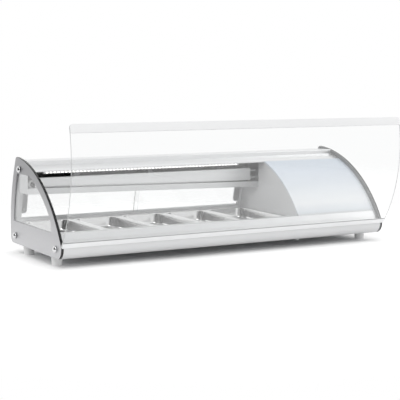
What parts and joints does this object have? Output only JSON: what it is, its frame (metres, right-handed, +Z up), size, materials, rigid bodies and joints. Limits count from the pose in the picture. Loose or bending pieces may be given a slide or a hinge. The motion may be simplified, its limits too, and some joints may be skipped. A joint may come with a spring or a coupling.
{
  "type": "refrigerated sushi display case",
  "caption": "Long countertop display case with a curved front glass hinged at the bottom, recessed pans, lit top rail, sliding rear doors and a compressor bay at one end.",
  "frame": {"origin": "on the counter, in the middle of the case's box with its front glass open", "axes": "+X along the case to the customer's right, -Y towards the customer, +Z up"},
  "size_m": [1.27, 0.5489, 0.4551],
  "materials": {
    "brushed_plate": "brushed",
    "clear_glass": "clear",
    "grey_board": "satin",
    "bright_chrome": "polished",
    "bright_aluminium": "satin anodised",
    "satin_steel": "satin",
    "smoked_plastic": "gloss",
    "diode_white": "lit",
    "zinc_sheet": "zinc plated",
    "black_rubber": "matte",
    "foam_yellow": "foam",
    "pale_cover": "smooth",
    "clear_plastic": "gloss",
    "copper_tube": "drawn copper",
    "dark_plastic": "fine grain",
    "rocker_plastic": "gloss",
    "black_paint": "semi gloss"
  },
  "bodies": {
    "case": {"left_end_plate": "brushed_plate", "right_end_plate": "brushed_plate", "left_side_pane": "clear_glass", "right_inner_panel": "grey_board", "dome_screws": "bright_chrome", "front_profile": "bright_aluminium", "back_profile": "bright_aluminium", "top_rail": "bright_aluminium", "light_bar": "bright_aluminium", "led_strip": "diode_white", "base_pan": "zinc_sheet", "feet": "black_rubber", "insulation": "foam_yellow", "well": "satin_steel", "deck": "satin_steel", "pan_bars": "satin_steel", "divider": "satin_steel", "compressor_cover": "pale_cover", "bottom_track": "bright_aluminium", "top_track": "bright_aluminium", "door_jambs": "bright_aluminium", "drip_tray": "satin_steel", "evaporator": "bright_aluminium", "evaporator_tube": "copper_tube", "evaporator_hangers": "satin_steel", "tube_grommets": "black_rubber", "control_panel": "zinc_sheet", "louvred_panel": "zinc_sheet", "panel_screws": "zinc_sheet", "temperature_controller": "dark_plastic", "switch_housings": "dark_plastic", "cable_gland": "dark_plastic", "compressor": "black_paint", "compressor_mounts": "black_rubber", "condenser": "zinc_sheet", "fan_shroud": "zinc_sheet", "fan_motor": "black_paint", "filter_drier": "copper_tube", "refrigerant_lines": "copper_tube", "drain_outlet": "dark_plastic", "drain_hose": "black_rubber"},
    "front_glass_panel": {"front_glass": "clear_glass", "glass_grip": "smoked_plastic", "glass_hinge_bar": "bright_aluminium"},
    "left_rear_door": {"rear_door_left": "clear_glass", "door_pull_left": "clear_plastic"},
    "right_rear_door": {"rear_door_right": "clear_glass", "door_pull_right": "clear_plastic"},
    "pan_1_body": {"pan_1": "satin_steel"},
    "pan_2_body": {"pan_2": "satin_steel"},
    "pan_3_body": {"pan_3": "satin_steel"},
    "pan_4_body": {"pan_4": "satin_steel"},
    "pan_5_body": {"pan_5": "satin_steel"},
    "fan": {"fan_blades": "dark_plastic"},
    "key_1": {"controller_key_1": "dark_plastic"},
    "key_2": {"controller_key_2": "dark_plastic"},
    "key_3": {"controller_key_3": "dark_plastic"},
    "key_4": {"controller_key_4": "dark_plastic"},
    "power_switch": {"power_rocker": "rocker_plastic"},
    "light_switch": {"light_rocker": "rocker_plastic"}
  },
  "joints": [
    {"name": "front_glass_hinge", "type": "hinge", "parent": "case", "child": "front_glass_panel", "pos_m": [0, -0.17753, 0.074], "axis": [1, 0, 0], "range_deg": [-63, 0]},
    {"name": "left_door_slide", "type": "slide", "parent": "case", "child": "left_rear_door", "axis": [1, 0, 0], "range_m": [0, 0.4292]},
    {"name": "right_door_slide", "type": "slide", "parent": "case", "child": "right_rear_door", "axis": [-1, 0, 0], "range_m": [0, 0.4292]},
    {"name": "pan_1_lift", "type": "slide", "parent": "case", "child": "pan_1_body", "axis": [0, 0, 1], "range_m": [0, 0.06]},
    {"name": "pan_2_lift", "type": "slide", "parent": "case", "child": "pan_2_body", "axis": [0, 0, 1], "range_m": [0, 0.06]},
    {"name": "pan_3_lift", "type": "slide", "parent": "case", "child": "pan_3_body", "axis": [0, 0, 1], "range_m": [0, 0.06]},
    {"name": "pan_4_lift", "type": "slide", "parent": "case", "child": "pan_4_body", "axis": [0, 0, 1], "range_m": [0, 0.06]},
    {"name": "pan_5_lift", "type": "slide", "parent": "case", "child": "pan_5_body", "axis": [0, 0, 1], "range_m": [0, 0.06]},
    {"name": "fan_spin", "type": "hinge", "parent": "case", "child": "fan", "pos_m": [0.502, 0.14247, 0.1485], "axis": [0, 1, 0], "continuous": true},
    {"name": "key_1_press", "type": "slide", "parent": "case", "child": "key_1", "axis": [0, -0.9703, -0.2419], "range_m": [0, 0.0007], "stiffness_N_per_m": 300, "springref_m": -0.0005},
    {"name": "key_2_press", "type": "slide", "parent": "case", "child": "key_2", "axis": [0, -0.9703, -0.2419], "range_m": [0, 0.0007], "stiffness_N_per_m": 300, "springref_m": -0.0005},
    {"name": "key_3_press", "type": "slide", "parent": "case", "child": "key_3", "axis": [0, -0.9703, -0.2419], "range_m": [0, 0.0007], "stiffness_N_per_m": 300, "springref_m": -0.0005},
    {"name": "key_4_press", "type": "slide", "parent": "case", "child": "key_4", "axis": [0, -0.9703, -0.2419], "range_m": [0, 0.0007], "stiffness_N_per_m": 300, "springref_m": -0.0005},
    {"name": "power_rocker_pivot", "type": "hinge", "parent": "case", "child": "power_switch", "pos_m": [0.366, 0.23126, 0.20532], "axis": [1, 0, 0], "range_deg": [0, 18]},
    {"name": "light_rocker_pivot", "type": "hinge", "parent": "case", "child": "light_switch", "pos_m": [0.332, 0.23126, 0.20532], "axis": [1, 0, 0], "range_deg": [0, 18]}
  ]
}
